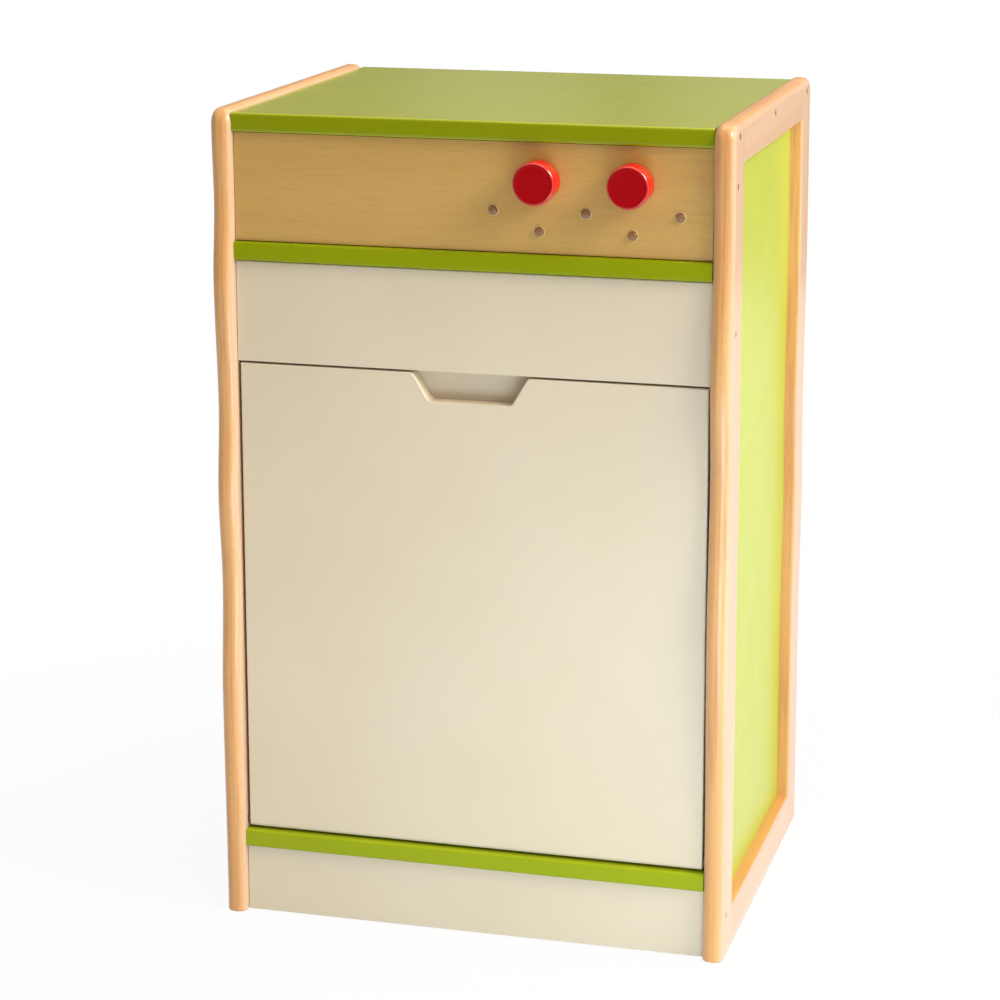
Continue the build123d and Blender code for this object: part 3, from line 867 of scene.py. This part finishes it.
@dataclass
class Studio:
    """The floor, the lamps, the room's soft light and the camera."""

    focal_px: float = 2939.5
    axis_lift_px: float = 100.0
    image_px: float = 1000.0
    camera_place: Place = (0.7389, -2.7702, 1.1380)
    yaw: float = -15.374
    pitch: float = -12.708
    roll: float = -0.067
    sensor: float = 36.0
    floor_radius: float = 3.4
    floor_rings: int = 24
    floor_segments: int = 64
    floor_grey: tuple = (0.66, 0.66, 0.66, 1.0)
    white_near: float = 0.93
    shadow_reach: float = 0.35
    all_white_from: float = 1.1
    white: tuple = (1.0, 1.0, 1.0, 1.0)
    room_level: float = 0.13
    room_colour: tuple = (1.0, 0.975, 0.93, 1.0)

    def camera(self) -> None:
        """Set up the camera at the photograph's viewing angle."""
        data = bpy.data.cameras.new("camera")
        data.sensor_width = self.sensor
        data.lens = self.focal_px * self.sensor / self.image_px
        data.shift_y = -self.axis_lift_px / self.image_px
        data.clip_start = 0.05
        data.clip_end = 60.0
        camera = bpy.data.objects.new("camera", data)
        bpy.context.scene.collection.objects.link(camera)
        yaw, pitch, roll = (math.radians(angle) for angle in (self.yaw, self.pitch, self.roll))
        ahead = Vector((math.sin(yaw) * math.cos(pitch), math.cos(yaw) * math.cos(pitch), math.sin(pitch)))
        level = Vector((math.cos(yaw), -math.sin(yaw), 0.0))
        above = level.cross(ahead)
        right = level * math.cos(roll) + above * math.sin(roll)
        up = above * math.cos(roll) - level * math.sin(roll)
        turn = Matrix((right, up, -ahead)).transposed()
        camera.matrix_world = Matrix.Translation(self.camera_place) @ turn.to_4x4()
        bpy.context.scene.camera = camera

    def floor_shape(self) -> Shape:
        """Work out a flat disc, whose points are ring radius times each angle's cosine and sine.

        One more point lies in the middle.

        Returns:
            The points and the faces.
        """
        rings, segments = self.floor_rings, self.floor_segments
        angle = np.arange(segments) * TAU / segments
        reach = np.linspace(0.0, self.floor_radius, rings + 1)[1:, None]
        grid = np.stack([reach * np.cos(angle), reach * np.sin(angle), np.zeros((rings, segments))], axis=2)
        points = np.concatenate([np.zeros((1, 3)), grid.reshape(-1, 3)])
        row, column = np.meshgrid(np.arange(rings - 1), np.arange(segments), indexing="ij")
        inner = 1 + row * segments
        outer = inner + segments
        beside = (column + 1) % segments
        quads = np.stack([inner + column, outer + column, outer + beside, inner + beside], axis=2)
        step = np.arange(segments)
        middle = np.stack([np.zeros(segments, dtype=int), 1 + step, 1 + (step + 1) % segments], axis=1)
        return points, quads.reshape(-1, 4).tolist() + middle.tolist()

    def floor(self) -> None:
        """Lay a round pale floor that keeps the shadow near the object and reads as white farther out."""
        points, faces = self.floor_shape()
        mesh = bpy.data.meshes.new("studio_floor")
        mesh.from_pydata(points.tolist(), [], faces)
        floor = bpy.data.objects.new("studio_floor", mesh)
        bpy.context.scene.collection.objects.link(floor)
        material, graph, output = new_material("pale floor")
        matt = graph.feed(graph.add("ShaderNodeBsdfDiffuse"), {"Color": self.floor_grey})
        white = graph.feed(graph.add("ShaderNodeEmission"), {"Strength": 1.0})
        point = graph.add("ShaderNodeTexCoord").outputs["Object"]
        distance = graph.vector("LENGTH", point).outputs["Value"]
        away = graph.ramp(distance, self.shadow_reach, self.all_white_from)
        ray = graph.add("ShaderNodeLightPath").outputs
        seen = graph.math("MAXIMUM", ray["Is Camera Ray"], ray["Is Glossy Ray"])
        seen = graph.math("MAXIMUM", seen, ray["Is Transmission Ray"])
        share = graph.scaled(seen, graph.scaled(away, 1.0 - self.white_near, self.white_near))
        mix = graph.add("ShaderNodeMixShader")
        graph.feed(mix, {0: share, 1: matt.outputs[0], 2: white.outputs[0]})
        graph.wire(mix.outputs[0], output.inputs[0])
        mesh.materials.append(material)

    def world(self) -> None:
        """Surround everything with soft light, strongest from the right and above, white to the camera."""
        world = bpy.data.worlds.new("studio")
        bpy.context.scene.world = world
        world.use_nodes = True
        world.node_tree.nodes.clear()
        graph = Graph(world.node_tree)
        output = graph.add("ShaderNodeOutputWorld")
        way = graph.add("ShaderNodeTexCoord").outputs["Generated"]
        level = self.room_level
        for window in ROOM_WINDOWS:
            level = graph.math("ADD", window.build(graph, way), level)
        room = graph.feed(graph.add("ShaderNodeBackground"), {"Color": self.room_colour, "Strength": level})
        white = graph.feed(graph.add("ShaderNodeBackground"), {"Color": self.white, "Strength": 1.0})
        ray = graph.add("ShaderNodeLightPath").outputs
        direct = graph.math("MAXIMUM", ray["Is Camera Ray"], ray["Is Transmission Ray"])
        mirrored = graph.scaled(WHITE_WALL_BEHIND.build(graph, way), ray["Is Glossy Ray"])
        seen = graph.math("MAXIMUM", direct, mirrored)
        mix = graph.add("ShaderNodeMixShader")
        graph.feed(mix, {0: seen, 1: room.outputs[0], 2: white.outputs[0]})
        graph.wire(mix.outputs[0], output.inputs[0])

    def build(self) -> None:
        """Set up the whole studio."""
        self.camera()
        self.floor()
        self.world()
        for lamp in LAMPS:
            lamp.build()


@dataclass
class Finishes:
    """Every finish of the dishwasher, made once and shared by the places that use it."""

    kit: FinishKit
    made: dict = field(default_factory=dict)

    def get(self, finish: Finish) -> Material:
        """Return a finish's material, made at its first use.

        Args:
            finish: The finish.

        Returns:
            Its material.
        """
        if finish.name not in self.made:
            self.made[finish.name] = finish.build(self.kit)
        return self.made[finish.name]


# The side tones are paler than the edge tones as painted light and sheen on the frames' broad faces.
BEECH = BeechTones(
    light=linear(228, 173, 108), dark=linear(216, 155, 91),
    painted_lit_side_light=linear(216, 182, 150), painted_lit_side_dark=linear(211, 173, 138), streak=linear(190, 126, 74))
BARE_BEECH = BeechTones(
    light=linear(226, 190, 140), dark=linear(210, 166, 114),
    painted_lit_side_light=linear(222, 190, 146), painted_lit_side_dark=linear(208, 170, 122), streak=linear(188, 142, 92))
GREEN = SatinPaint(
    "green satin paint", linear(140, 149, 0), linear(136, 145, 0), linear(152, 162, 10),
    roughness=0.26, gloss=0.16)
# The top board's top is painted lighter than the shelf's green as painted light, and its front darker as
# painted shade.
GREEN_TOP_PAINTED_LIT_AND_SHADED = SatinPaint(
    "green gloss paint with painted light and shade", linear(163, 169, 2), linear(159, 166, 2), linear(167, 175, 12),
    roughness=0.15, gloss=0.38, peel_scale=160.0, front=linear(134, 142, 0))
# A lighter copy of the shelf's green for the bottom board: painted light standing in for the floor's
# bounce.
GREEN_LOW_PAINTED_BOUNCE = SatinPaint(
    "green satin paint lightened as painted bounce", linear(149, 159, 18), linear(145, 155, 14), linear(160, 170, 26),
    roughness=0.26, gloss=0.16)
# A paler copy of the boards' green on the side panels: painted light for the strong light on the broad
# sides.
INFILL_GREEN_PAINTED_LIT = SatinPaint(
    "pale green satin paint as painted light", linear(178, 187, 64), linear(175, 185, 58), linear(192, 200, 70),
    roughness=0.32)
CREAM = SatinPaint(
    "cream satin paint", linear(216, 199, 172), linear(211, 193, 164), linear(230, 217, 195),
    roughness=0.42, coat=0.08, peel_scale=520.0)
# The knobs' side red is brightened as painted light and their face red deepened as painted shade.
RED_LIT_AND_SHADED_TONES = {"colour": linear(222, 16, 12), "shade": linear(212, 10, 8), "face": linear(163, 0, 6)}
PIN_BROWN = EndGrain("oiled brown end grain", linear(150, 106, 58), linear(92, 56, 26))
PLUG_BROWN = EndGrain("brown plug end grain", linear(116, 72, 36), linear(78, 44, 20))
STEEL = Metal("zinc plated steel", linear(190, 190, 195), linear(160, 160, 166), roughness=0.28)
MAGNET = Metal("nickel plated magnet", linear(205, 204, 200), linear(180, 178, 172), roughness=0.18)
NYLON = SoftTrim(
    "moulded brown nylon", linear(92, 70, 54), linear(78, 58, 44),
    roughness=0.40, scale=700.0, depth=0.03 * MM)
FELT = SoftTrim(
    "pressed felt", linear(214, 206, 190), linear(188, 178, 160),
    roughness=0.88, scale=2400.0, depth=0.4 * MM)


@dataclass
class SideFrames:
    """The two wavy beech frames, their green infill panels and what holds them."""

    finishes: Finishes
    seed_per_side: float = 3.7
    seed_per_stick: float = 1.3

    def build(self) -> None:
        """Dress both frames."""
        sticks = {
            "front_stile": Grain.ALONG_Z, "rear_stile": Grain.ALONG_Z,
            "top_rail": Grain.ALONG_Y, "bottom_rail": Grain.ALONG_Y,
        }
        dowel = VarnishedBeech(
            "bare frame dowel", Grain.ALONG_Y, 9.0, BARE_BEECH, least_roughness=0.54, coat=0.0)
        others = {
            "side_panel": INFILL_GREEN_PAINTED_LIT, "frame_dowels": dowel,
            "side_screws": STEEL, "screw_plugs": PLUG_BROWN,
        }
        for number, side in enumerate(("left", "right")):
            for step, (stick, grain) in enumerate(sticks.items()):
                seed = self.seed_per_side * number + self.seed_per_stick * step
                finish = VarnishedBeech(f"varnished beech {side} {stick}", grain, seed, BEECH)
                dress(f"{side}_{stick}", self.finishes.get(finish))
            for part, finish in others.items():
                dress(f"{side}_{part}", self.finishes.get(finish))


@dataclass
class Cabinet:
    """Boards, panels and everything fixed between the frames."""

    finishes: Finishes

    def build(self) -> None:
        """Dress the cabinet's fixed pieces."""
        front = VeneeredBoard(
            "beech veneer front", Grain.ALONG_X, seed=5.0,
            light=linear(201, 159, 87), dark=linear(196, 153, 80), line=linear(176, 134, 66))
        rear = VeneeredBoard(
            "beech plywood back", Grain.ALONG_Z, seed=8.0, least_roughness=0.51,
            light=linear(222, 188, 134), dark=linear(208, 170, 112), line=linear(186, 146, 94))
        dowel = VarnishedBeech(
            "bare board dowel", Grain.ALONG_X, 4.0, BARE_BEECH, least_roughness=0.54, coat=0.0)
        finishes = {
            "top_board": GREEN_TOP_PAINTED_LIT_AND_SHADED, "shelf_board": GREEN, "bottom_board": GREEN_LOW_PAINTED_BOUNCE,
            "control_panel": front, "upper_front_panel": CREAM, "plinth": CREAM, "door_stop_rail": CREAM,
            "back_panel": rear, "back_panel_screws": STEEL, "stop_rail_screws": STEEL,
            "board_dowels": dowel, "catch_sleeves": NYLON, "catch_magnets": MAGNET, "stop_pads": FELT,
            "pivot_bushes": NYLON, "knob_bushes": NYLON,
        }
        for node, finish in finishes.items():
            dress(node, self.finishes.get(finish))


@dataclass
class BackBeads:
    """Two thin wooden beads in the rear corners of the dish space, where the back meets the stiles."""

    finishes: Finishes
    wide: float = 3.5 * MM
    deep: float = 5.5 * MM
    steps: int = 7

    def build(self) -> None:
        """Make both beads.

        Each is a quarter ellipse, wide across and deep ahead of the back panel, drawn from the bottom
        board up to the shelf.
        """
        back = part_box("back_panel")[0].y
        heights = (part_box("bottom_board")[1].z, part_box("shelf_board")[0].z)
        angle = np.radians(np.linspace(0.0, 90.0, self.steps))
        across = np.concatenate([[0.0], self.wide * np.cos(angle)])
        ahead = np.concatenate([[0.0], self.deep * np.sin(angle)])
        count = len(across)
        number = np.arange(count)
        beside = (number + 1) % count
        bead_faces = np.stack([number, beside, count + beside, count + number], axis=1).tolist()
        bead_faces += [number[::-1].tolist(), (count + number).tolist()]
        points = []
        faces = []
        for way, inner in ((-1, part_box("left_rear_stile")[1].x), (1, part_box("right_rear_stile")[0].x)):
            start = len(points) * count
            section = (inner - way * across, back - ahead)
            points += [np.stack([*section, np.full(count, z)], axis=1) for z in heights]
            faces += [[corner + start for corner in face[::way]] for face in bead_faces]
        wood = self.finishes.get(VarnishedBeech("varnished bead at the back", Grain.ALONG_Z, 6.0, BEECH))
        make_piece("back_corner_beads", (np.concatenate(points), faces), wood, "cabinet")


@dataclass
class DialPins:
    """The five setting pins by the knobs, each with a domed head and a bead of varnish at its hole."""

    finishes: Finishes
    radius: float = 4.0 * MM
    proud: float = 3.0 * MM
    depth: float = 12.0 * MM
    tail_radius: float = 3.6 * MM
    tail_chamfer: float = 0.6 * MM
    rim_round: float = 1.2 * MM
    crown: float = 0.30 * MM
    bead_gap: float = 0.05 * MM
    bead_width: float = 1.3 * MM
    bead_height: float = 0.35 * MM
    segments: int = 48

    def pin_profile(self) -> np.ndarray:
        """Work out a pin's outline: chamfered tail, straight shank, rounded rim and parabolic crown.

        Returns:
            Rows of radius and height, height 0 at the panel's face.
        """
        shoulder = self.proud - self.crown
        flat = self.radius - self.rim_round
        rim = arc((flat, shoulder - self.rim_round), self.rim_round, 0.0, 90.0, steps=9)
        inward = np.linspace(flat, 0.0, 8)[1:]
        dome = np.stack([inward, shoulder + self.crown * (1.0 - (inward / flat) ** 2)], axis=1)
        tail = np.array([
            [0.0, -self.depth],
            [self.tail_radius, -self.depth],
            [self.radius, self.tail_chamfer - self.depth],
        ])
        return np.concatenate([tail, rim, dome])

    def bead_profile(self) -> np.ndarray:
        """Work out the varnish bead's outline: a flat foot and a parabola over it, closed on itself.

        Returns:
            Rows of radius and height.
        """
        inner = self.radius + self.bead_gap
        share = np.linspace(-1.0, 1.0, 9)
        radius = inner + self.bead_width * (share + 1.0) / 2.0
        return np.stack([radius, self.bead_height * (1.0 - share ** 2)], axis=1)[::-1]

    def build(self) -> None:
        """Make the pins and their beads at the places of the CAD pins: three in a row and two below."""
        low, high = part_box("dial_pins")
        face = low.y + self.proud
        row = (low.x + self.radius, (low.x + high.x) / 2, high.x - self.radius)
        places = [(x, face, high.z - self.radius) for x in row]
        places += [((row[step] + row[step + 1]) / 2, face, low.z + self.radius) for step in (0, 1)]
        pins = make_piece("turned_dial_pins", turned(self.pin_profile(), places, self.segments),
                          self.finishes.get(PIN_BROWN), "cabinet")
        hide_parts("dial_pins")
        bead = VarnishedBeech(
            "varnish bead at a pin", Grain.ALONG_X, 2.0, BARE_BEECH, least_roughness=0.19, coat=0.6)
        make_piece("varnish_beads_at_pins", turned(self.bead_profile(), places, self.segments),
                   self.finishes.get(bead), "cabinet")


@dataclass
class Door:
    """The drop-down door and what is fixed to it."""

    finishes: Finishes

    def build(self) -> None:
        """Dress the door's pieces."""
        dress("door_panel", self.finishes.get(CREAM))
        for node in ("door_pivot_pins", "strike_discs", "strike_screws"):
            dress(node, self.finishes.get(STEEL))


@dataclass
class Knobs:
    """The two turned knobs: a bored back, a straight side, a rounded rim and a slightly dished face."""

    finishes: Finishes
    bore_radius: float = 3.05 * MM
    bore_depth: float = 15.05 * MM
    back_round: float = 1.5 * MM
    rim_round: float = 3.0 * MM
    dish: float = 0.12 * MM
    dish_lip: float = 0.9 * MM
    segments: int = 128

    def profile(self, radius: float, height: float) -> np.ndarray:
        """Work out the knob's outline from the bottom of its bore out to the middle of its face.

        The lip between the rim and the dished face falls by half a cosine wave.

        Args:
            radius: The knob's radius.
            height: From its back to its rim.

        Returns:
            Rows of radius and height.
        """
        end = self.bore_depth
        bore = np.array([[0.0, end], [self.bore_radius, end], [self.bore_radius, 0.0]])
        back = arc((radius - self.back_round, self.back_round), self.back_round, -90.0, 0.0, steps=7)
        inner = radius - self.rim_round
        rim = arc((inner, height - self.rim_round), self.rim_round, 0.0, 90.0, steps=13)
        share = np.linspace(0.0, 1.0, 7)[1:]
        fall = self.dish * (1.0 - np.cos(np.pi * share)) / 2.0
        lip = np.stack([inner - self.dish_lip * share, height - fall], axis=1)
        inward = np.linspace(inner - self.dish_lip, 0.0, 10)[1:]
        face = np.stack([inward, np.full_like(inward, height - self.dish)], axis=1)
        return np.concatenate([bore, back, rim, lip, face])

    def build(self) -> None:
        """Make both knobs and dress their hidden hardware."""
        for side in ("left", "right"):
            low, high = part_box(f"{side}_knob")
            radius = (high.x - low.x) / 2
            centre = (low.x + radius, high.y, low.z + radius)
            red = GlossLacquer(f"red lacquer with painted light and shade {side}", axis_x=centre[0], axis_z=centre[2], **RED_LIT_AND_SHADED_TONES)
            shape = turned(self.profile(radius, high.y - low.y), [centre], self.segments)
            knob = make_piece(
                f"turned_{side}_knob", shape, self.finishes.get(red), f"{side}_knob")
            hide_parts(f"{side}_knob")
            for part in ("spindle", "washer", "nut"):
                dress(f"{side}_knob_{part}", self.finishes.get(STEEL))


def main() -> None:
    """Build the studio and dress the dishwasher, class by class."""
    logging.basicConfig(level=logging.INFO)
    bpy.context.scene.view_settings.view_transform = "Standard"
    kit = FinishKit(EffectGroups.wood_grain(), EffectGroups.paint_skin(), EffectGroups.arris())
    Studio().build()
    finishes = Finishes(kit)
    for assembly in (SideFrames, Cabinet, BackBeads, DialPins, Door, Knobs):
        assembly(finishes).build()


if __name__ == "__main__":
    main()
